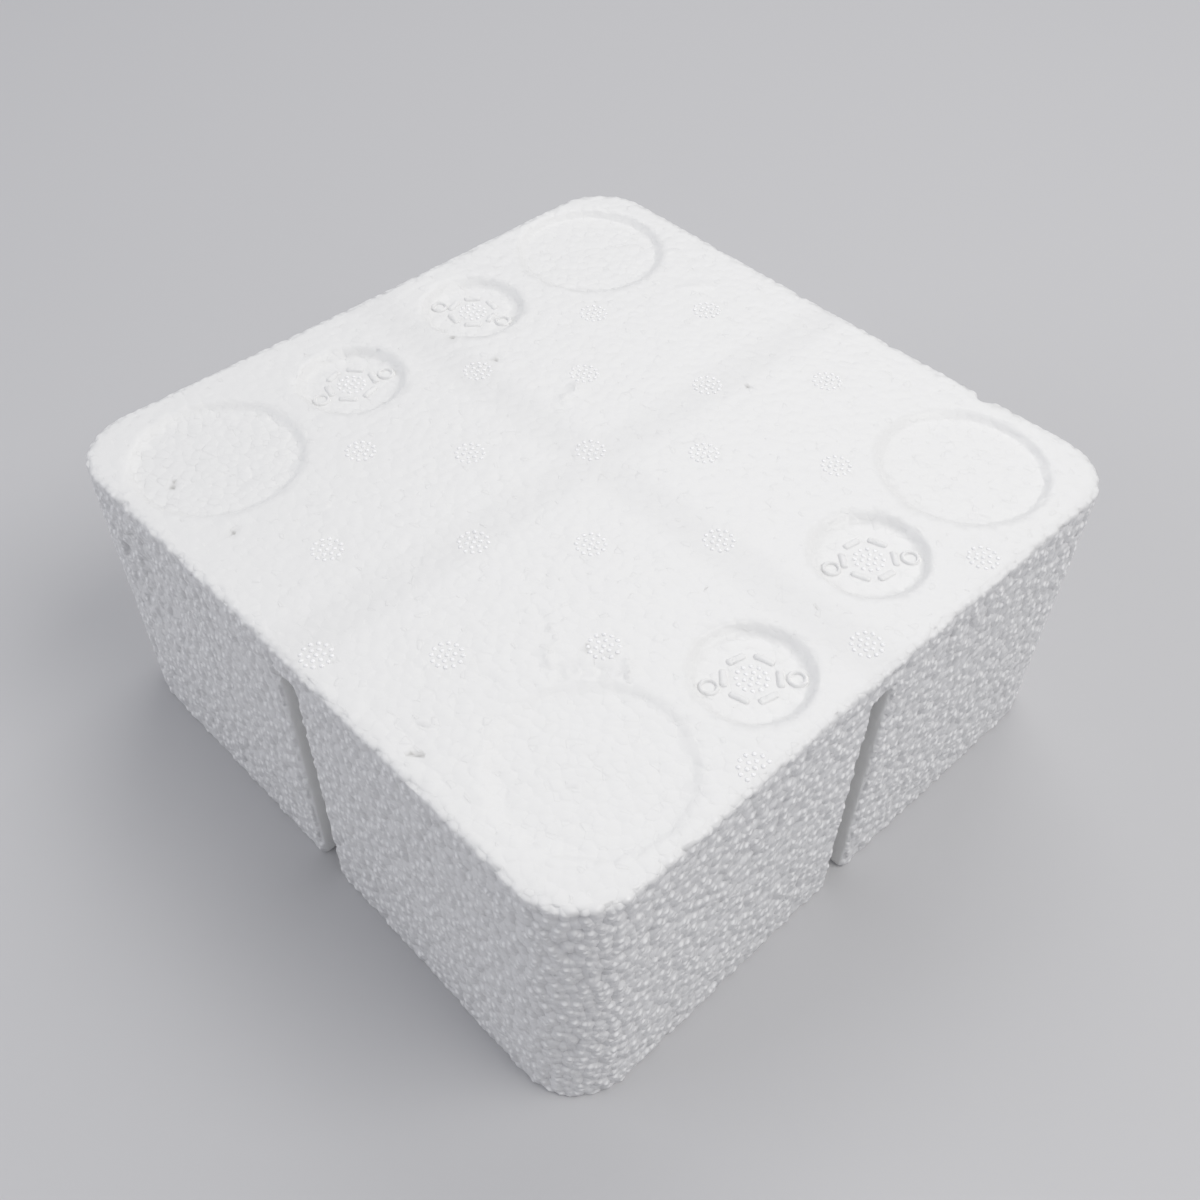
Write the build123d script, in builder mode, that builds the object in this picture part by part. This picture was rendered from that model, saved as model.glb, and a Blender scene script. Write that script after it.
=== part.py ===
"""Foam corner protectors: a set of four, moulded in one piece of expanded polystyrene.

The block is a square cushion seen from above. A cross-shaped slot, cut up from below,
parts it into four protectors, one at each corner, which stay joined by a thin web under
the top face and snap off along it. Each protector has two walls and a top plate that close
round the corner of a packed product, so together they leave one open pocket underneath.

Millimetres. The origin is at the middle of the underside, X and Y run along the sides, and
Z points up. The block rests on the lower ends of its walls.
"""

import os
from math import radians, tan

from build123d import *

# ---- Driving dimensions ----------------------------------------------------------------

# The block of four protectors
block_length = 110.0  # along X
block_width = 110.0  # along Y
block_height = 50.0
corner_radius = 10.0  # upright edges of the block
rim_radius = 0.6  # top and bottom edges, rounded by the size of the foam beads

# The pocket that the product's corners sit in
wall_thickness = 20.0
plate_thickness = 20.0
pocket_radius = 4.0  # its upright edges, which also leave room for a product's own edge

# The cross-shaped slot between the protectors
slot_width = 3.8
web_thickness = 4.5  # foam left above the slot, which joins the four
slot_mouth_radius = 1.0  # upright edges where the slot opens in a side face

# Large round marks, one over each protector's corner, left by the ejector pins
corner_mark_diameter = 25.5
corner_mark_slope = 50.0  # degrees that its wall leans from upright
corner_marks = [
    # X side, Y side, distance in from the X side face, from the Y side face, depth
    (-1, 1, 14.7, 17.3, 0.9),
    (1, 1, 17.3, 16.2, 0.9),
    (-1, -1, 17.7, 15.5, 0.8),
    (1, -1, 15.6, 17.6, 0.35),
]

# Small round marks beside the slot, left by round inserts in the mould
insert_mark_diameter = 17.0
insert_mark_depth = 1.2
insert_mark_slope = 45.0
insert_marks = [
    # X side, Y side, distance in from the X side face, distance from the slot, turn in degrees
    (-1, 1, 13.9, 11.7, 20.0),
    (-1, -1, 16.0, 14.5, 75.0),
    (1, 1, 15.2, 14.4, 50.0),
    (1, -1, 12.2, 13.0, 46.0),
]

# What stands on the floor of each small mark: two rings and six straight ribs
ring_diameter = 2.8
ring_wall = 0.6
ring_height = 0.5
ring_circle_radius = 5.7  # the rings' distance from the middle of the mark
ring_spread = 195.0  # angle from one ring to the other
rib_count = 6
rib_length = 2.9
rib_width = 0.8
rib_height = 0.5
rib_gap = 0.3  # between the ribs and the rings outside them

# Round mark on the front face of one protector, where the beads were blown in
filler_mark_diameter = 20.0
filler_core_diameter = 12.5
filler_step = 0.45  # depth of the outer ring, and of the core below it
filler_slope = 45.0
filler_from_left = 21.5  # its middle, in from the left side face
filler_below_top = 15.0

# ---- Derived places --------------------------------------------------------------------

half_length = block_length / 2
half_width = block_width / 2
pocket_length = block_length - 2 * wall_thickness
pocket_width = block_width - 2 * wall_thickness
pocket_height = block_height - plate_thickness
slot_height = block_height - web_thickness
rib_circle_radius = ring_circle_radius - ring_diameter / 2 - rib_gap - rib_width / 2
cut_margin = 5.0  # how far a cut runs past the face that it opens in
near = 0.001  # two places closer than this are the same one


def corner_mark_plane(x_side, y_side, x_inset, y_inset):
    """The top face, centred on a large mark."""
    x = x_side * (half_length - x_inset)
    y = y_side * (half_width - y_inset)
    return Plane(origin=(x, y, block_height))


def insert_mark_plane(x_side, y_side, x_inset, slot_distance, turn):
    """The floor of a small mark, centred on it and turned with its rings and ribs."""
    x = x_side * (half_length - x_inset)
    y = y_side * slot_distance
    floor = Plane(origin=(x, y, block_height - insert_mark_depth))
    return floor.rotated((0, 0, turn))


def sink_round_mark(plane, diameter, depth, slope):
    """Sinks a round mark, as wide as its diameter at the plane, with a sloping wall."""
    floor_radius = diameter / 2 - depth * tan(radians(slope))
    with Locations(plane):
        Cone(
            bottom_radius=floor_radius,
            top_radius=diameter / 2,
            height=depth,
            align=(Align.CENTER, Align.CENTER, Align.MAX),
            mode=Mode.SUBTRACT,
        )


# ---- The one moulding ------------------------------------------------------------------

with BuildPart() as foam_corner_block:
    # The walls of the four protectors, parted by the slot
    with BuildSketch(Plane.XY) as walls_plan:
        RectangleRounded(block_length, block_width, corner_radius)
        Rectangle(block_length + 2 * cut_margin, slot_width, mode=Mode.SUBTRACT)
        Rectangle(slot_width, block_width + 2 * cut_margin, mode=Mode.SUBTRACT)
        slot_corners = walls_plan.vertices().filter_by(
            lambda corner: min(abs(corner.X), abs(corner.Y)) < slot_width
        )
        fillet(
            slot_corners.filter_by(
                lambda corner: half_length - abs(corner.X) < near or half_width - abs(corner.Y) < near
            ),
            radius=slot_mouth_radius,
        )
    extrude(amount=slot_height)

    # The web over the slot, which joins them
    with BuildSketch(Plane.XY.offset(slot_height)):
        RectangleRounded(block_length, block_width, corner_radius)
    extrude(amount=web_thickness)

    # Top and bottom edges
    level_faces = foam_corner_block.faces().filter_by(Axis.Z)
    top_and_bottom = level_faces.filter_by(
        lambda face: face.center().Z < near or face.center().Z > block_height - near
    )
    fillet(top_and_bottom.edges(), radius=rim_radius)

    # The pocket, open below
    with BuildSketch(Plane.XY.offset(pocket_height)):
        RectangleRounded(pocket_length, pocket_width, pocket_radius)
    extrude(amount=-(pocket_height + cut_margin), mode=Mode.SUBTRACT)

    # Large marks over the corners
    for x_side, y_side, x_inset, y_inset, depth in corner_marks:
        mark_plane = corner_mark_plane(x_side, y_side, x_inset, y_inset)
        sink_round_mark(mark_plane, corner_mark_diameter, depth, corner_mark_slope)

    # Small marks, with the rings and ribs that stand on their floors
    for mark in insert_marks:
        floor_plane = insert_mark_plane(*mark)
        top_plane = floor_plane.offset(insert_mark_depth)
        sink_round_mark(top_plane, insert_mark_diameter, insert_mark_depth, insert_mark_slope)
        with BuildSketch(floor_plane):
            with PolarLocations(ring_circle_radius, 2, angular_range=ring_spread, endpoint=True):
                Circle(ring_diameter / 2)
                Circle(ring_diameter / 2 - ring_wall, mode=Mode.SUBTRACT)
        extrude(amount=ring_height)
        with BuildSketch(floor_plane):
            with PolarLocations(rib_circle_radius, rib_count):
                Rectangle(rib_width, rib_length)
        extrude(amount=rib_height)

    # The stepped mark on the front face
    filler_plane = Plane(
        origin=(filler_from_left - half_length, -half_width, block_height - filler_below_top),
        z_dir=(0, -1, 0),
    )
    sink_round_mark(filler_plane, filler_mark_diameter, filler_step, filler_slope)
    core_plane = filler_plane.offset(-filler_step)
    sink_round_mark(core_plane, filler_core_diameter, filler_step, filler_slope)

foam_corner_block.part.label = "foam_corner_block"

# ---- Output ----------------------------------------------------------------------------

os.makedirs("parts", exist_ok=True)
export_step(foam_corner_block.part, "parts/foam_corner_block.step")

volume_cm3 = foam_corner_block.part.volume / 1000
print(f"foam_corner_block: {volume_cm3:.1f} cubic centimetres")
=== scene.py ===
# %% [markdown]
# # A set of four foam corner protectors
#
# This is one block of expanded polystyrene, the white bead foam that appliances are packed
# in. It holds four corner protectors that are moulded together. A slot, cut up from below,
# parts them, and a thin web under the top face joins them until they are snapped apart.
#
# Bead foam is easy to recognise and hard to fake with a flat white. Its skin is a mosaic of
# beads that were puffed up with steam until they pressed against each other and the mould.
# So this lesson spends its effort on three things: the beads, in the mesh and in the
# finish, the marks that the mould leaves, and a soft light that lets white stay white.

# %% Load the frame
import math

import bmesh
import bpy
import numpy as np
from mathutils import Matrix, Quaternion, Vector
from mathutils.bvhtree import BVHTree


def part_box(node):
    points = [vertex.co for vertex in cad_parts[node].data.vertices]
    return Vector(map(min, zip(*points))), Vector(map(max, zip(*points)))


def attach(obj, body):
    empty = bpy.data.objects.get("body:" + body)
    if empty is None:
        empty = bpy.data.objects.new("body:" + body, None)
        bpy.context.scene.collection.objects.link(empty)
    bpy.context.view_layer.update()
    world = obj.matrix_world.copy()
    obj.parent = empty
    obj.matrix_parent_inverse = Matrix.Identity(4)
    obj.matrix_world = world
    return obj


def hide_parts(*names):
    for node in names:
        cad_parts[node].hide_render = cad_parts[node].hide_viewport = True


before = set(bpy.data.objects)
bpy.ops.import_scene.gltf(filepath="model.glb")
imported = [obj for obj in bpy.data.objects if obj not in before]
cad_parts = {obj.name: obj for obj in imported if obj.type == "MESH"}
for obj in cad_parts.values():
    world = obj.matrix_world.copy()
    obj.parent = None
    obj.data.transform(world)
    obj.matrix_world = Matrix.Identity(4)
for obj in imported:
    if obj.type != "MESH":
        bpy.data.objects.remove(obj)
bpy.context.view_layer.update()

MM = 0.001
NODE = "foam_corner_block"
SLOT = "expanded_polystyrene"
low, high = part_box(NODE)
LENGTH, WIDTH, HEIGHT = (high - low) / MM
print(f"the block is {LENGTH:.0f} x {WIDTH:.0f} x {HEIGHT:.0f} mm")

# %% [markdown]
# ## The camera
#
# The block is seen from above its nearest corner, closely enough for the upright edges to
# lean together. A camera is placed by where it stands and which way it looks. Turning it
# a degree about its own line of sight gives the slight tilt of a picture held by hand.

# %% Camera
CAMERA_PLACE = Vector((102.1, -98.7, 174.4)) * MM
CAMERA_TARGET = Vector((16.8, -14.4, 43.7)) * MM
CAMERA_ROLL = math.radians(1.24)
SENSOR_MM = 36.0
LENS_MM = 38.7

camera_data = bpy.data.cameras.new("camera")
camera_data.sensor_width = SENSOR_MM
camera_data.lens = LENS_MM
camera_data.clip_start = 1 * MM
camera = bpy.data.objects.new("camera", camera_data)
bpy.context.scene.collection.objects.link(camera)
line_of_sight = CAMERA_TARGET - CAMERA_PLACE
camera.rotation_mode = "QUATERNION"
camera.rotation_quaternion = line_of_sight.to_track_quat("-Z", "Y") @ Quaternion((0, 0, 1), CAMERA_ROLL)
camera.location = CAMERA_PLACE
bpy.context.scene.camera = camera
print(f"the camera stands {line_of_sight.length / MM:.0f} mm from what it looks at")

# %% [markdown]
# ## Floor and light
#
# White foam shows its shape only through small differences in brightness. A large lamp high
# on the right is the window, and a weaker one stands behind. The upright sides have to stay
# clearly greyer than the top, so the sky is dim, and a faint lamp low on the left only keeps
# the near left side from sinking into shadow. None of them faces the nearest edge, which
# stays dark.

# %% Floor
FLOOR_SIZE = 3.0
FLOOR_COLOUR = (0.60, 0.60, 0.61, 1.0)
FLOOR_ROUGHNESS = 0.6


def link(piece_object):
    """Puts an object into the scene."""
    bpy.context.scene.collection.objects.link(piece_object)
    return piece_object


def object_from(name, shape):
    """A new object that holds a bmesh, which is freed."""
    mesh = bpy.data.meshes.new(name)
    shape.to_mesh(mesh)
    shape.free()
    return link(bpy.data.objects.new(name, mesh))


floor_shape = bmesh.new()
bmesh.ops.create_grid(floor_shape, x_segments=1, y_segments=1, size=FLOOR_SIZE / 2)
floor = object_from("floor", floor_shape)
floor_material = bpy.data.materials.new("pale_floor")
floor_material.use_nodes = True
floor_shader = floor_material.node_tree.nodes["Principled BSDF"]
floor_shader.inputs["Base Color"].default_value = FLOOR_COLOUR
floor_shader.inputs["Roughness"].default_value = FLOOR_ROUGHNESS
floor.data.materials.append(floor_material)
print("a pale floor lies under the block")


# %% Lights
def area_light(name, place, aim, size, power, colour):
    """A square lamp at a place, turned to face its aim."""
    lamp = bpy.data.lights.new(name, "AREA")
    lamp.size = size
    lamp.energy = power
    lamp.color = colour
    lamp_object = link(bpy.data.objects.new(name, lamp))
    lamp_object.location = place
    lamp_object.rotation_euler = (aim - place).to_track_quat("-Z", "Y").to_euler()
    return lamp_object


MIDDLE = Vector((0, 0, HEIGHT / 2)) * MM
area_light("window_light", Vector((0.46, 0.20, 0.75)), MIDDLE, 0.5, 3.2, (1.0, 0.985, 0.955))
area_light("back_light", Vector((-0.30, 0.45, 0.70)), MIDDLE, 0.5, 1.5, (1.0, 0.99, 0.97))
area_light("left_light", Vector((-0.50, -0.65, 0.35)), MIDDLE, 0.6, 1.5, (0.96, 0.97, 1.0))

world = bpy.data.worlds.new("studio")
world.use_nodes = True
world.node_tree.nodes["Background"].inputs["Color"].default_value = (0.93, 0.94, 1.0, 1.0)
world.node_tree.nodes["Background"].inputs["Strength"].default_value = 0.43
bpy.context.scene.world = world
bpy.context.scene.view_settings.view_transform = "Standard"
print("a window, two weaker lamps and a dim sky light the foam")

# %% [markdown]
# ## The beads, as a pattern
#
# A bead is a cell of a Voronoi pattern: each point belongs to its nearest centre, just as
# each bead grew until it met its neighbours. Three things give it relief. It is domed, and
# rounder above than below, because the block was pushed up out of its mould. It leans a little
# its own way, so its edges step up or down to the next bead. And a small knob stands out on
# its upper half, which on the upright faces catches the light from above. The group also puts
# out a mask on the upper flank of each bead, where the finish makes the skin glossier and
# paints a highlight, which makes the sides glitter.
#
# The same pattern is needed twice, to push the mesh in and out and to shade what the mesh is
# too coarse to hold. Blender's geometry nodes and shader nodes share their Voronoi and maths
# nodes, so one function builds the group for both, and the two always line up.

# %% Bead pattern
BEAD_MM = 1.45
BEAD_SCATTER = 0.9  # 1 scatters the centres fully, 0 puts them on a grid
EDGE_WIDTH = 0.16  # a bead's lean fades out this near to its edge, in beads
DOME_FOOT = -0.25  # below this, measured up from its middle in beads, a dome falls no further
KNOB_RISE = 0.22  # the knob's middle above the bead's, in beads
KNOB_RADII = (0.42, 0.12)  # where the knob starts, and where it is full
# Where the painted highlight sits on each bead, above its middle, in beads
GLINT_RISE = 0.36
GLINT_RADII = (0.36, 0.14)
RELIEF = ("Dome", "Lean", "Knob")


def add_node(tree, kind, **settings):
    """A new node with its settings."""
    node = tree.nodes.new(kind)
    for name, value in settings.items():
        setattr(node, name, value)
    return node


def fill_inputs(tree, node, *values):
    """Sets a node's first inputs, each from a socket or from a plain value."""
    for socket, value in zip(node.inputs, values):
        if isinstance(value, bpy.types.NodeSocket):
            tree.links.new(value, socket)
        else:
            socket.default_value = value
    return node


def calculate(tree, operation, first, second=0.0):
    """A maths node, whose inputs are sockets or numbers."""
    return fill_inputs(tree, add_node(tree, "ShaderNodeMath", operation=operation), first, second).outputs[0]


def vector_node(tree, operation, first, second):
    """A vector maths node. Its output is a number for DOT_PRODUCT and DISTANCE."""
    node = fill_inputs(tree, add_node(tree, "ShaderNodeVectorMath", operation=operation), first, second)
    return node.outputs["Value" if operation in ("DOT_PRODUCT", "DISTANCE") else "Vector"]


def split(tree, vector):
    """The X, Y and Z of a vector or colour socket."""
    return fill_inputs(tree, add_node(tree, "ShaderNodeSeparateXYZ"), vector).outputs


def soft_step(tree, value, start, end):
    """0 up to start, 1 from end on, and a smooth rise between, for a socket. Start may be the larger."""
    node = fill_inputs(tree, add_node(tree, "ShaderNodeMapRange", interpolation_type="SMOOTHSTEP"), value)
    node.inputs["From Min"].default_value = start
    node.inputs["From Max"].default_value = end
    return node.outputs[0]


def bead_group(tree_kind):
    """A node group that turns a place into the three kinds of relief of the bead skin there."""
    group = bpy.data.node_groups.new("bead_skin_" + tree_kind, tree_kind)
    group.interface.new_socket("Place", in_out="INPUT", socket_type="NodeSocketVector")
    for name in (*RELIEF, "Glint"):
        group.interface.new_socket(name, in_out="OUTPUT", socket_type="NodeSocketFloat")
    place = add_node(group, "NodeGroupInput").outputs["Place"]
    per_metre = 1 / (BEAD_MM * MM)
    in_beads = vector_node(group, "MULTIPLY", place, (per_metre, per_metre, per_metre))

    nearest = add_node(group, "ShaderNodeTexVoronoi", feature="F1")
    border = add_node(group, "ShaderNodeTexVoronoi", feature="DISTANCE_TO_EDGE")
    for cells in (nearest, border):
        cells.inputs["Scale"].default_value = 1.0
        cells.inputs["Randomness"].default_value = BEAD_SCATTER
        group.links.new(in_beads, cells.inputs["Vector"])
    from_centre = vector_node(group, "SUBTRACT", in_beads, nearest.outputs["Position"])

    # -1 at half a bead from the middle, which is about where the edge is
    across, along, up = split(group, from_centre)
    up = calculate(group, "MAXIMUM", up, DOME_FOOT)
    out = fill_inputs(group, add_node(group, "ShaderNodeCombineXYZ"), across, along, up).outputs[0]
    dome = calculate(group, "MULTIPLY", vector_node(group, "DOT_PRODUCT", out, out), -4.0)

    own_direction = vector_node(group, "SUBTRACT", nearest.outputs["Color"], (0.5, 0.5, 0.5))
    within = calculate(group, "DIVIDE", border.outputs["Distance"], EDGE_WIDTH)
    within = calculate(group, "MINIMUM", within, 1.0)
    lean = calculate(group, "MULTIPLY", vector_node(group, "DOT_PRODUCT", from_centre, own_direction), 2.0)
    lean = calculate(group, "MULTIPLY", lean, within)

    spots = []
    for rise, radii in ((KNOB_RISE, KNOB_RADII), (GLINT_RISE, GLINT_RADII)):
        to_spot = vector_node(group, "DISTANCE", from_centre, (0.0, 0.0, rise))
        spot = soft_step(group, to_spot, *radii)
        spots.append(calculate(group, "MULTIPLY", spot, within))

    result = add_node(group, "NodeGroupOutput")
    for name, value in zip((*RELIEF, "Glint"), (dome, lean, *spots)):
        group.links.new(value, result.inputs[name])
    return group


def bead_height(tree, beads, depths):
    """The height of the bead skin in mm: each kind of relief times its depth, added up."""
    height = 0.0
    for kind, depth in zip(RELIEF, depths):
        height = calculate(tree, "ADD", height, calculate(tree, "MULTIPLY", beads.outputs[kind], depth))
    return height


shader_beads = bead_group("ShaderNodeTree")
mesh_beads = bead_group("GeometryNodeTree")
print(f"beads are {BEAD_MM} mm across")

# %% [markdown]
# ## An even mesh
#
# The CAD model already has the right form: the block, its pocket and slot, and the recesses
# of the marks. What it lacks is points to move, because its flat faces are a few large
# triangles. A copy of it is merged and remeshed into small even quads.

# %% Even mesh
VOXEL_MM = 0.4


def finish_modifiers(piece):
    """Applies an object's modifiers to its mesh."""
    depsgraph = bpy.context.evaluated_depsgraph_get()
    finished = bpy.data.meshes.new_from_object(piece.evaluated_get(depsgraph))
    old_mesh = piece.data
    piece.modifiers.clear()
    piece.data = finished
    bpy.data.meshes.remove(old_mesh)
    return piece


foam_shape = bmesh.new()
foam_shape.from_mesh(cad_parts[NODE].data)
bmesh.ops.remove_doubles(foam_shape, verts=foam_shape.verts, dist=0.001 * MM)
bmesh.ops.recalc_face_normals(foam_shape, faces=foam_shape.faces)
foam = object_from("foam_block", foam_shape)
even = foam.modifiers.new("even_mesh", "REMESH")
even.mode = "VOXEL"
even.voxel_size = VOXEL_MM * MM
finish_modifiers(foam)
print(f"the even mesh has {len(foam.data.vertices)} points")

# %% [markdown]
# ## Room for the ribs
#
# Six ribs and two rings stand on the floor of each small mark. They are hardly wider than the
# voxels, which turn them into lumps. So the lumps are pressed flat here, by moving their points
# down to the floor and merging what then falls together, and crisp ones are made further on.

# %% Flatten the small marks
INSERT_MARKS = [
    # place along X and Y, and turn in degrees
    (-41.1, 11.7, 20.0),
    (-39.0, -14.5, 75.0),
    (39.8, 14.4, 50.0),
    (42.8, -13.0, 46.0),
]
INSERT_FLOOR_RADIUS = 7.3
INSERT_FLOOR_HEIGHT = HEIGHT - 1.2
MERGE_MM = 0.12

flat_shape = bmesh.new()
flat_shape.from_mesh(foam.data)
floor_points = []
for point in flat_shape.verts:
    for mark_x, mark_y, _ in INSERT_MARKS:
        out = math.hypot(point.co.x / MM - mark_x, point.co.y / MM - mark_y)
        if out < INSERT_FLOOR_RADIUS and point.co.z > (INSERT_FLOOR_HEIGHT - 1) * MM:
            point.co.z = INSERT_FLOOR_HEIGHT * MM
            floor_points.append(point)
bmesh.ops.remove_doubles(flat_shape, verts=floor_points, dist=MERGE_MM * MM)
flat_shape.to_mesh(foam.data)
flat_shape.free()
print(f"{len(floor_points)} points lie on the floors of the small marks")

# %% [markdown]
# ## Where the skin is rough
#
# The mould presses the top smooth, so its beads are only a faint mosaic. The sides slid
# along the mould as the block came out, and their beads are domed and knobbly. The slot and
# the pocket were formed by polished cores. Three numbers stored on each point say how deep
# each kind of relief is there.

# %% Depth of the relief
# Depth of the domes, of the lean and of the knobs, in mm
SKIN = {
    "core": (0.02, 0.02, 0.0),
    "level": (0.03, 0.07, 0.0),  # the top, and the ends of the walls
    "mark": (0.05, 0.10, 0.0),  # the floor of the front left mark, whose beads show most
    "side": (0.26, 0.06, 0.14),
    "rim": (0.16, 0.08, 0.04),
}
DEPTH_NAMES = ("dome_mm", "lean_mm", "knob_mm")
FRONT_LEFT_MARK = (-37.3, -39.5)
CORNER_MARK_RADIUS = 12.75
CORNER_RADIUS = 10.0
FILLER_MARK = (-33.5, 35.0)  # along X and Z, on the front face
FILLER_RADIUS = 10.3
FILLER_DEPTH = 1.5
# Where each kind of skin starts to fade and has gone, or starts and is full
UPRIGHT_SLOPE = (0.6, 0.9)  # how far a face looks up or down, as the Z of its normal
TOP_DEPTH = (3.0, 2.5)  # below the top, in mm
END_HEIGHT = (0.5, 1.0)  # above the lower ends of the walls
SIDE_DEPTH = (0.4, 0.7)  # in from the sides
RIM_DEPTH = (0.5, 1.0)
RIM_BELOW_TOP = (0.9, 0.3)
MARK_EDGE = 1.5


def point_array(mesh, what="co"):
    """The places or normals of a mesh's points, as an array, in mm for places."""
    values = np.zeros(len(mesh.vertices) * 3)
    if what == "co":
        mesh.vertices.foreach_get("co", values)
        return values.reshape(-1, 3) / MM
    mesh.vertex_normals.foreach_get("vector", values)
    return values.reshape(-1, 3)


def store(mesh, name, values):
    """Stores a number for each of a mesh's points, or one for all of them."""
    stored = mesh.attributes.new(name, "FLOAT", "POINT")
    stored.data.foreach_set("value", np.broadcast_to(values, len(mesh.vertices)).astype(np.float32))


def smooth_step(value, start, end):
    """0 up to start, 1 from end on, and a smooth rise between."""
    share = np.clip((value - start) / (end - start), 0, 1)
    return share * share * (3 - 2 * share)


def inside_outline(place):
    """How far each point is in from the block's outer sides, seen from above."""
    straight = np.array([LENGTH / 2, WIDTH / 2]) - CORNER_RADIUS
    past = np.abs(place[:, :2]) - straight
    outside = np.linalg.norm(np.maximum(past, 0), axis=1) + np.minimum(past.max(axis=1), 0)
    return CORNER_RADIUS - outside


place = point_array(foam.data)
upright = 1 - smooth_step(np.abs(point_array(foam.data, "normal")[:, 2]), *UPRIGHT_SLOPE)
depth_in = inside_outline(place)
on_top = smooth_step(place[:, 2], HEIGHT - TOP_DEPTH[0], HEIGHT - TOP_DEPTH[1])
on_level = np.maximum(on_top, 1 - smooth_step(place[:, 2], *END_HEIGHT))
to_filler = np.linalg.norm(place[:, ::2] - FILLER_MARK, axis=1)
in_filler = (to_filler < FILLER_RADIUS) & (place[:, 1] < FILLER_DEPTH - WIDTH / 2)
on_side = upright * np.maximum(1 - smooth_step(depth_in, *SIDE_DEPTH), in_filler)
near_top = smooth_step(place[:, 2], HEIGHT - RIM_BELOW_TOP[0], HEIGHT - RIM_BELOW_TOP[1])
near_rim = (1 - smooth_step(depth_in, *RIM_DEPTH)) * near_top
to_mark = np.linalg.norm(place[:, :2] - FRONT_LEFT_MARK, axis=1)
in_mark = on_top * (1 - smooth_step(to_mark, CORNER_MARK_RADIUS - MARK_EDGE, CORNER_MARK_RADIUS))

skin_depth = np.full((len(place), 3), SKIN["core"])
shares = {"level": on_level, "mark": in_mark, "side": on_side, "rim": near_rim}
for kind, share in shares.items():
    skin_depth += (SKIN[kind] - skin_depth) * share[:, None]
for name, values in zip(DEPTH_NAMES, skin_depth.T):
    store(foam.data, name, values)
print(f"{np.mean(on_side > 0.5):.0%} of the points are on the rough sides")

# %% [markdown]
# ## What the mould and handling did to the form
#
# The sides shrink a little more at mid-length, over the slot, where there is less foam behind
# them, and the web sinks there too. The top has a few creases and tears from when the block
# was pulled out of its mould, and a piece is missing from the back edge.

# %% Where the vents are
VENT_PITCH = 25.6
VENT_ROWS = [
    # distance along Y, first place along X, how many
    (39.4, -14.0, 2),
    (25.0, -26.0, 4),
    (12.9, -15.4, 2),
    (1.2, -27.2, 4),
    (-12.2, -13.0, 2),
    (-23.6, -24.2, 4),
    (-39.0, -11.0, 2),
    (-51.0, 3.4, 1),
]
vents = []
for y, first_x, count in VENT_ROWS:
    vents += [(first_x + column * VENT_PITCH, y) for column in range(count)]
vents += [(x, y) for x, y, _ in INSERT_MARKS]
print(f"steam came through {len(vents)} vents")

# %% Shrinkage, creases and chips
SIDE_SHRINK = 0.35
WEB_SINK = 0.09
WEB_SINK_WIDTH = 3.5
WOBBLE_MM = 0.45
LONG_WAVES, SHORT_WAVES, FADING_WAVES = 1.9, 4.7, 2.6  # in radians for each mm
CREASES = [
    # start, end, width, height, all in mm
    ((-13.9, 10.2), (-12.6, 6.4), 0.45, 0.36),
    ((20.6, -26.0), (24.4, -30.6), 0.55, 0.36),
    ((31.0, -23.0), (32.4, -24.8), 0.50, 0.42),
    ((25.6, -31.4), (30.4, -26.0), 0.90, -0.32),
    ((27.5, -24.5), (29.8, -22.4), 0.60, 0.28),
    ((-20.2, -35.2), (-18.6, -34.0), 0.40, 0.22),
    ((-18.4, -34.0), (-16.4, -35.0), 0.45, 0.20),
    ((-21.4, 40.8), (-19.0, 44.6), 0.80, 0.22),
    ((-30.4, 47.2), (-27.6, 45.8), 0.80, 0.22),
]
CHIPS = [
    # place, radius, depth
    ((30.6, 55.0, 50.0), 1.1, 1.5),
    ((-6.0, 55.0, 50.0), 0.7, 0.6),
    ((12.5, 55.0, 50.0), 0.6, 0.6),
    ((-25.0, 55.0, 50.0), 0.7, 0.5),
]
CHIP_DIRECTION = np.array([0.0, -0.7, -0.7])
SPECKS = [
    (-36.5, 4.0),
    (-28.0, 4.8),
    (4.1, 29.7),
    (-37.3, -47.4),
    (-22.0, -46.5),
    (23.8, -51.4),
    (25.5, -25.3),
]
SPECK_RADIUS = 0.40
SPECK_DEPTH = 0.30
# Painted shade: the skin round each vent is painted a little darker, as if shaded between its pips
VENT_SHADE = 0.04
VENT_RADIUS = 2.3


def distance_to_line(points, start, end):
    """How far points in plan are from the straight line between two others."""
    start, end = np.array(start), np.array(end)
    along = np.clip((points - start) @ (end - start) / ((end - start) @ (end - start)), 0, 1)
    return np.linalg.norm(points - start - along[:, None] * (end - start), axis=1)


def hump(distance, width):
    """A smooth hump: 1 at no distance, and nearly 0 from twice its width on."""
    return np.exp(-((distance / width) ** 2))


shaped = place.copy()
plan = place[:, :2]
outer_share = smooth_step(np.abs(plan) / (LENGTH / 2), 0.5, 1.0)
mid_length = np.cos(np.pi * np.clip(plan / LENGTH, -0.5, 0.5)) ** 2
shaped[:, :2] -= np.sign(plan) * SIDE_SHRINK * outer_share * mid_length[:, ::-1]
over_slot = hump(plan, WEB_SINK_WIDTH).max(axis=1)
shaped[:, 2] -= WEB_SINK * over_slot * on_top
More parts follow.
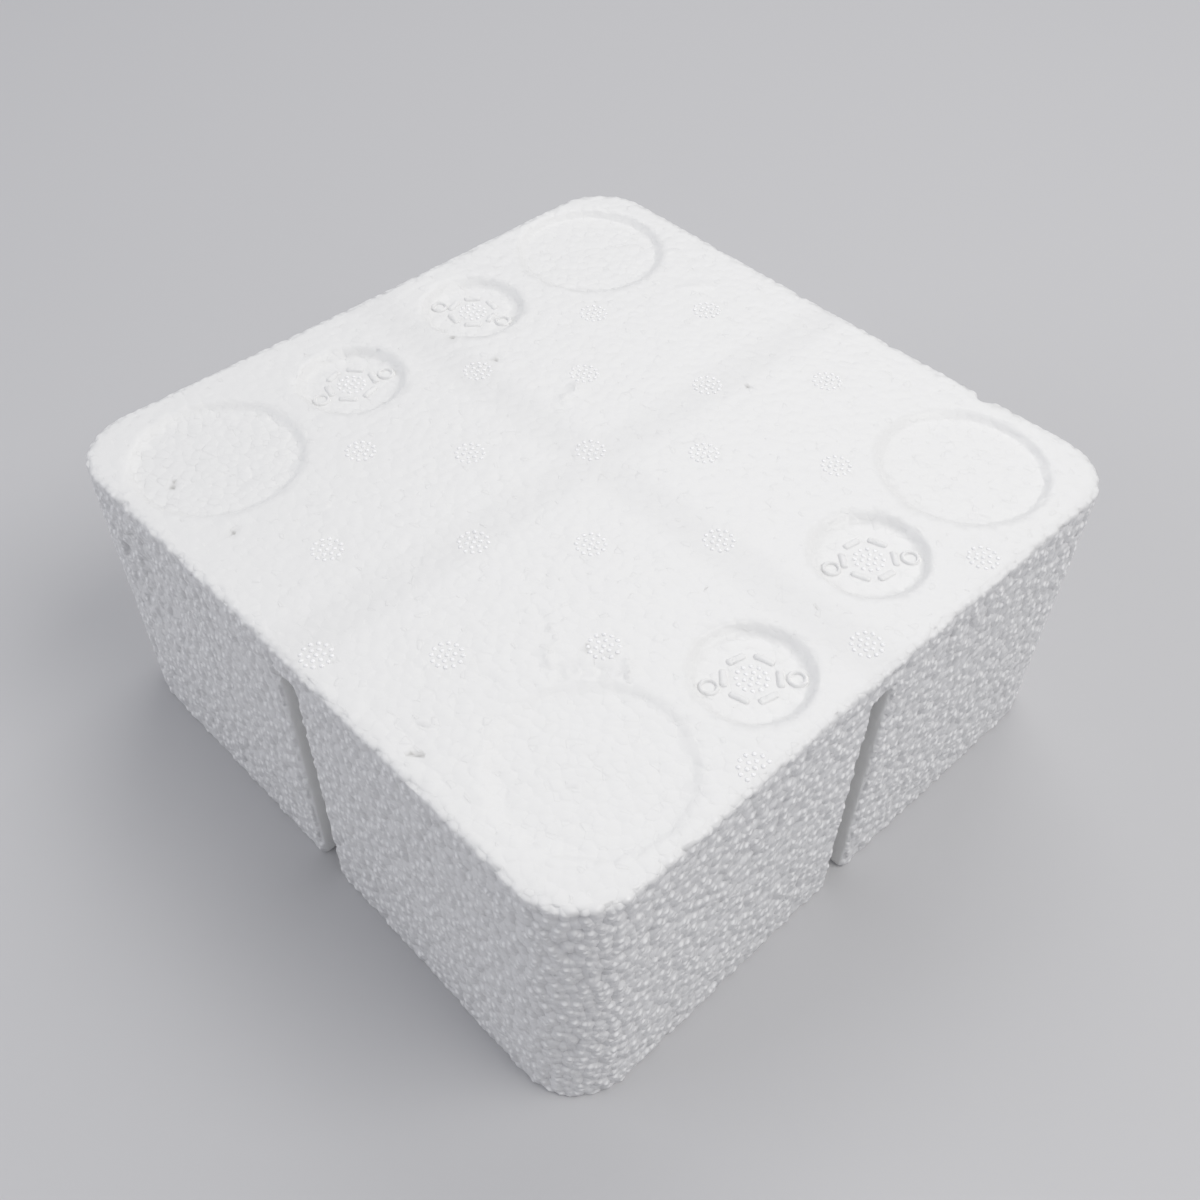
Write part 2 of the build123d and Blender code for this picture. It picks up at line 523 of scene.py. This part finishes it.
# Waves of two lengths bend the creases, and a third makes them come and go
long_bends = np.sin(plan[:, ::-1] * LONG_WAVES + 1.0)
short_bends = np.sin(plan[:, ::-1] * SHORT_WAVES)
wobbly = plan + WOBBLE_MM * long_bends + 0.4 * WOBBLE_MM * short_bends
coming_and_going = 0.65 + 0.35 * np.sin(plan.sum(axis=1) * FADING_WAVES)
for start, end, width, height in CREASES:
    ridge = hump(distance_to_line(wobbly, start, end), width) * coming_and_going
    shaped[:, 2] += height * ridge * on_top
dirt_and_vent_shade = np.zeros(len(place))
for speck in SPECKS:
    spot = hump(np.linalg.norm(wobbly - speck, axis=1), SPECK_RADIUS) * on_top
    shaped[:, 2] -= SPECK_DEPTH * spot
    dirt_and_vent_shade = np.maximum(dirt_and_vent_shade, spot)
# Painted shade round the vents goes into the same mask as the real dirt of the specks
for vent in vents:
    dirt_and_vent_shade = np.maximum(dirt_and_vent_shade, VENT_SHADE * on_top * hump(np.linalg.norm(plan - vent, axis=1), VENT_RADIUS))
for middle, radius, chip_depth in CHIPS:
    lost = hump(np.linalg.norm(place - middle, axis=1), radius)
    shaped += chip_depth * lost[:, None] * CHIP_DIRECTION
foam.data.vertices.foreach_set("co", (shaped * MM).ravel())
store(foam.data, "dirt_and_vent_shade", dirt_and_vent_shade)
foam.data.update()
print(f"handling moved points by up to {np.abs(shaped - place).max():.2f} mm")

# %% [markdown]
# ## Pressing the beads in
#
# A geometry node group moves each point out along its normal, by the height of the bead skin
# there. It reads the three depths from the points. Soft noise adds the slow waves that foam
# keeps from uneven shrinkage. Small beads leave far more points than a flat stretch needs,
# so a decimate modifier then thins the mesh.

# %% Press the beads into the mesh
MESH_SHARE = 0.6  # of the relief, which the finish then shades more finely
UNEVENNESS = 0.07
UNEVENNESS_SIZE = 7.0

press = bpy.data.node_groups.new("press_beads", "GeometryNodeTree")
press.interface.new_socket("Geometry", in_out="INPUT", socket_type="NodeSocketGeometry")
press.interface.new_socket("Geometry", in_out="OUTPUT", socket_type="NodeSocketGeometry")
press_in = add_node(press, "NodeGroupInput")
press_out = add_node(press, "NodeGroupOutput")
beads = add_node(press, "GeometryNodeGroup", node_tree=mesh_beads)
press.links.new(add_node(press, "GeometryNodeInputPosition").outputs[0], beads.inputs["Place"])
depths = []
for name in DEPTH_NAMES:
    depth = add_node(press, "GeometryNodeInputNamedAttribute", data_type="FLOAT")
    depth.inputs["Name"].default_value = name
    depths.append(depth.outputs["Attribute"])
push = calculate(press, "MULTIPLY", bead_height(press, beads, depths), MESH_SHARE)
waves = add_node(press, "ShaderNodeTexNoise")
waves.inputs["Scale"].default_value = 1 / (UNEVENNESS_SIZE * MM)
waves.inputs["Detail"].default_value = 2.0
centred = calculate(press, "SUBTRACT", waves.outputs[0], 0.5)
push = calculate(press, "ADD", push, calculate(press, "MULTIPLY", centred, 2 * UNEVENNESS))
push = calculate(press, "MULTIPLY", push, MM)
outward = add_node(press, "ShaderNodeVectorMath", operation="SCALE")
press.links.new(add_node(press, "GeometryNodeInputNormal").outputs[0], outward.inputs[0])
press.links.new(push, outward.inputs["Scale"])
move = add_node(press, "GeometryNodeSetPosition")
press.links.new(press_in.outputs["Geometry"], move.inputs["Geometry"])
press.links.new(outward.outputs["Vector"], move.inputs["Offset"])
press.links.new(move.outputs["Geometry"], press_out.inputs["Geometry"])
foam.modifiers.new("press_beads", "NODES").node_group = press
finish_modifiers(foam)
moved = np.abs(point_array(foam.data) - shaped).max()
print(f"the beads moved points by up to {moved:.2f} mm")

# %% Thin the mesh
MOST_TRIANGLES = 190_000
thin = foam.modifiers.new("thin", "DECIMATE")
thin.ratio = MOST_TRIANGLES / (2 * len(foam.data.polygons))
finish_modifiers(foam)
foam.data.shade_smooth()
print(f"the foam has {len(foam.data.polygons)} faces")

# %% [markdown]
# ## The vent pips
#
# The mould lets its steam in and out through small vents, each with 19 pin holes: one in the
# middle, a ring of 6 and a ring of 12. Foam squeezes into the holes and leaves pips. They
# are too small for the even mesh, so each is a little ball of its own, half sunk in the skin.
# A ray cast down from above finds the skin under each, however the web has sunk there.

# %% Vent pips
PIP_RADIUS = 0.34
PIP_RISE = 0.20
PIP_PITCH = 1.0
PIP_SPREAD = (0.6, 1.2)  # of their rises, as shares
PIP_EDGE_GAP = 1.5  # no pip comes nearer to the block's sides
RAY_START = 5  # above the top
skin_of_foam = BVHTree.FromObject(foam, bpy.context.evaluated_depsgraph_get())
pip_random = np.random.default_rng(7)


def skin_height(x, y):
    """The height of the foam's upper skin at a place in plan, in mm."""
    hit = skin_of_foam.ray_cast(Vector((x, y, HEIGHT + RAY_START)) * MM, Vector((0, 0, -1)))[0]
    return hit.z / MM


def add_vent(shape, x, y):
    """Adds one vent's pips to a bmesh, as flattened balls on the skin."""
    for ring, count in ((0, 1), (1, 6), (2, 12)):
        for step in range(count):
            angle = math.tau * (step + 0.5 * (ring == 2)) / count
            pip_x = x + ring * PIP_PITCH * math.cos(angle)
            pip_y = y + ring * PIP_PITCH * math.sin(angle)
            if max(abs(pip_x), abs(pip_y)) > LENGTH / 2 - PIP_EDGE_GAP:
                continue
            rise = PIP_RISE * pip_random.uniform(*PIP_SPREAD)
            size = Matrix.Diagonal((PIP_RADIUS * MM, PIP_RADIUS * MM, rise * MM, 1.0))
            top = Vector((pip_x, pip_y, skin_height(pip_x, pip_y))) * MM
            place_here = Matrix.Translation(top) @ size
            bmesh.ops.create_uvsphere(shape, u_segments=8, v_segments=5, radius=1.0, matrix=place_here)


pip_shape = bmesh.new()
for vent_x, vent_y in vents:
    add_vent(pip_shape, vent_x, vent_y)
pips = object_from("vent_pips", pip_shape)
pips.data.shade_smooth()
# Marks the pips, which the finish paints near white as painted highlights
store(pips.data, "pip", 1.0)
print(f"{len(vents)} vents have pips with {len(pips.data.polygons)} faces")

# %% [markdown]
# ## Ribs and rings in the small marks
#
# The inserts in the mould have shallow shapes cut in them, and the foam fills those: six
# straight ribs in a ring, and two small rings outside them. A rib is a box with its edges
# bevelled round, because foam never fills a sharp corner. A ring is a small circle spun
# round an upright axis. Both are sunk a little into the floor, so that no gap shows.

# %% Ribs and rings
RIB_COUNT = 6
RIB_SIZE = (1.1, 2.9)
RIB_PLACE = 3.6  # from the middle of the mark to the middle of a rib
RIB_BEVEL = 0.45
BEVEL_STEPS = 4
RING_RADIUS = 1.1  # of the middle line of its wall
RING_WALL = 0.6
RING_PLACE = 5.7
RING_ANGLES = (0.0, 195.0)
RING_STEPS = 28
STAND = 0.34  # how high they stand
SUNK = 0.5


def add_rib(shape, place_here):
    """Adds one rib to a bmesh, moved to its place by a transform."""
    size = Matrix.Diagonal((RIB_SIZE[0] * MM, RIB_SIZE[1] * MM, (STAND + SUNK) * MM, 1.0))
    points = bmesh.ops.create_cube(shape, size=1.0, matrix=size)["verts"]
    edges = {edge for point in points for edge in point.link_edges}
    rounded = bmesh.ops.bevel(
        shape,
        geom=list(edges),
        offset=RIB_BEVEL * MM,
        offset_type="OFFSET",
        segments=BEVEL_STEPS,
        profile=0.5,
        affect="EDGES",
        material=-1,
    )
    points = {point for face in rounded["faces"] for point in face.verts}
    bmesh.ops.transform(shape, verts=list(points), matrix=place_here)


def add_ring(shape, place_here):
    """Adds one ring to a bmesh, moved to its place by a transform."""
    upright_circle = Matrix.Translation((RING_RADIUS * MM, 0, 0)) @ Matrix.Rotation(math.pi / 2, 4, "X")
    stretched = Matrix.Diagonal((1, 1, (STAND + SUNK) / RING_WALL, 1)) @ upright_circle
    circle = bmesh.ops.create_circle(shape, segments=10, radius=RING_WALL / 2 * MM, matrix=stretched)
    points = circle["verts"]
    edges = {edge for point in points for edge in point.link_edges}
    before = set(shape.verts) - set(points)
    bmesh.ops.spin(
        shape,
        geom=[*points, *edges],
        axis=(0, 0, 1),
        cent=(0, 0, 0),
        angle=math.tau,
        steps=RING_STEPS,
        use_merge=True,
    )
    new_points = [point for point in shape.verts if point not in before]
    bmesh.ops.transform(shape, verts=new_points, matrix=place_here)


rib_shape = bmesh.new()
for mark_x, mark_y, turn in INSERT_MARKS:
    middle_height = INSERT_FLOOR_HEIGHT + (STAND - SUNK) / 2
    mark_middle = Matrix.Translation(Vector((mark_x, mark_y, middle_height)) * MM)
    for step in range(RIB_COUNT):
        swing = Matrix.Rotation(math.radians(turn + step * 360 / RIB_COUNT), 4, "Z")
        add_rib(rib_shape, mark_middle @ swing @ Matrix.Translation((RIB_PLACE * MM, 0, 0)))
    for ring_angle in RING_ANGLES:
        swing = Matrix.Rotation(math.radians(turn + ring_angle), 4, "Z")
        add_ring(rib_shape, mark_middle @ swing @ Matrix.Translation((RING_PLACE * MM, 0, 0)))
bmesh.ops.recalc_face_normals(rib_shape, faces=rib_shape.faces)
ribs = object_from("mark_ribs", rib_shape)
ribs.data.shade_smooth()
for name, value in zip(DEPTH_NAMES, SKIN["mark"]):
    store(ribs.data, name, value)
print(f"the ribs and rings have {len(ribs.data.polygons)} faces")

# %% [markdown]
# ## The foam's finish
#
# Foam is white because light scatters in its thousands of cells, so a plain bright colour
# with a fairly rough surface is close to it. The finish adds what that lacks. A bump node
# shades the same bead pattern again, as finely as the mesh can't hold it. The sides are
# painted a little greyer, as painted shade, and their glossy knobs are painted near white,
# as painted highlights. The thin web over the slot lets some of the light through, and it is
# painted greyer as well, as painted shade. The pips are glossy and painted near white, as
# painted highlights. A few specks of dirt are darker, and round each vent a faint painted
# shade darkens the skin.

# %% Foam material
FOAM_COLOUR = (0.88, 0.88, 0.872)
# Painted shade: the upright sides are painted greyer than the top, between their knobs
SIDE_SHADE_COLOUR = (0.81, 0.81, 0.815)
# Painted highlight: the knobs on the sides and the pips are painted near white
GLINT_COLOUR = (0.99, 0.99, 0.99)
# Painted shade: the thin web over the slot is painted greyer, for the light that passes through it
WEB_SHADE_COLOUR = (0.80, 0.80, 0.795)
WEB_SHADE_SHARE = 0.35
WEB_HALF_WIDTH, WEB_EDGE = 1.2, 4.0  # of the greyer band over the slot, in mm
# Real dirt in the specks, and a faint painted shade round the vents
DIRT_AND_SHADE_COLOUR = (0.22, 0.21, 0.19)
DIRT_AND_SHADE_SHARE = 0.65
FOAM_ROUGHNESS = 0.42
GLINT_GLOSS = 0.2  # how much smoother the glints are
BUMP_SHARE = 0.6
foam_material = bpy.data.materials.new(SLOT)
foam_material.use_nodes = True
tree = foam_material.node_tree
shader = tree.nodes["Principled BSDF"]


def mixed_colour(tree, share, first, second):
    """A colour between two, by a share from 0 to 1. Each is a socket or a colour."""
    node = add_node(tree, "ShaderNodeMix", data_type="RGBA")
    for socket, value in ((node.inputs[0], share), (node.inputs[6], first), (node.inputs[7], second)):
        if isinstance(value, bpy.types.NodeSocket):
            tree.links.new(value, socket)
        else:
            socket.default_value = (*value, 1.0)
    return node.outputs[2]


def soft_band(tree, coordinate, half_width, edge):
    """1 on a band about the middle of a coordinate, falling to 0 over a soft edge."""
    return soft_step(tree, calculate(tree, "ABSOLUTE", coordinate), (half_width + edge) * MM, half_width * MM)


coordinates = add_node(tree, "ShaderNodeTexCoord")
skin = add_node(tree, "ShaderNodeGroup", node_tree=shader_beads)
tree.links.new(coordinates.outputs["Object"], skin.inputs["Place"])
stored_depths = [add_node(tree, "ShaderNodeAttribute", attribute_name=name) for name in DEPTH_NAMES]
bump_height = bead_height(tree, skin, [depth.outputs["Fac"] for depth in stored_depths])
bump = add_node(tree, "ShaderNodeBump")
bump.inputs["Strength"].default_value = 1.0
bump.inputs["Distance"].default_value = BUMP_SHARE * MM
tree.links.new(bump_height, bump.inputs["Height"])
tree.links.new(bump.outputs["Normal"], shader.inputs["Normal"])

axes = split(tree, coordinates.outputs["Object"])
# Painted shade over the thin web, which lets light through
web_bands = [soft_band(tree, axes[name], WEB_HALF_WIDTH, WEB_EDGE) for name in ("X", "Y")]
web_shade = calculate(tree, "MULTIPLY", calculate(tree, "MAXIMUM", *web_bands), WEB_SHADE_SHARE)
colour = mixed_colour(tree, web_shade, FOAM_COLOUR, WEB_SHADE_COLOUR)
# Painted shade on the sides, and painted highlights on their knobs and on the pips
on_side = calculate(tree, "DIVIDE", stored_depths[2].outputs["Fac"], SKIN["side"][2])
colour = mixed_colour(tree, on_side, colour, SIDE_SHADE_COLOUR)
glint = calculate(tree, "MULTIPLY", skin.outputs["Glint"], on_side)
# The pips get the same painted highlight as the knobs
is_pip = add_node(tree, "ShaderNodeAttribute", attribute_name="pip")
glint = calculate(tree, "MAXIMUM", glint, is_pip.outputs["Fac"])
colour = mixed_colour(tree, glint, colour, GLINT_COLOUR)
roughness = calculate(tree, "SUBTRACT", FOAM_ROUGHNESS, calculate(tree, "MULTIPLY", glint, GLINT_GLOSS))
tree.links.new(roughness, shader.inputs["Roughness"])
# Real dirt in the specks and painted shade round the vents darken the colour
dirt_and_shade_mask = add_node(tree, "ShaderNodeAttribute", attribute_name="dirt_and_vent_shade")
dirt_and_shade = calculate(tree, "MULTIPLY", dirt_and_shade_mask.outputs["Fac"], DIRT_AND_SHADE_SHARE)
colour = mixed_colour(tree, dirt_and_shade, colour, DIRT_AND_SHADE_COLOUR)
tree.links.new(colour, shader.inputs["Base Color"])
for piece in (foam, pips, ribs):
    piece.data.materials.clear()
    piece.data.materials.append(foam_material)
print("the foam has its finish")

# %% [markdown]
# ## Into the frame
#
# All three pieces are one moulding, so they ride the same body and share one material slot.
# The foam block stands in for the plain CAD shape, and the pips and ribs are added to it.

# %% Place the pieces in the frame
for piece in (foam, pips, ribs):
    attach(piece, "root")
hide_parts(NODE)
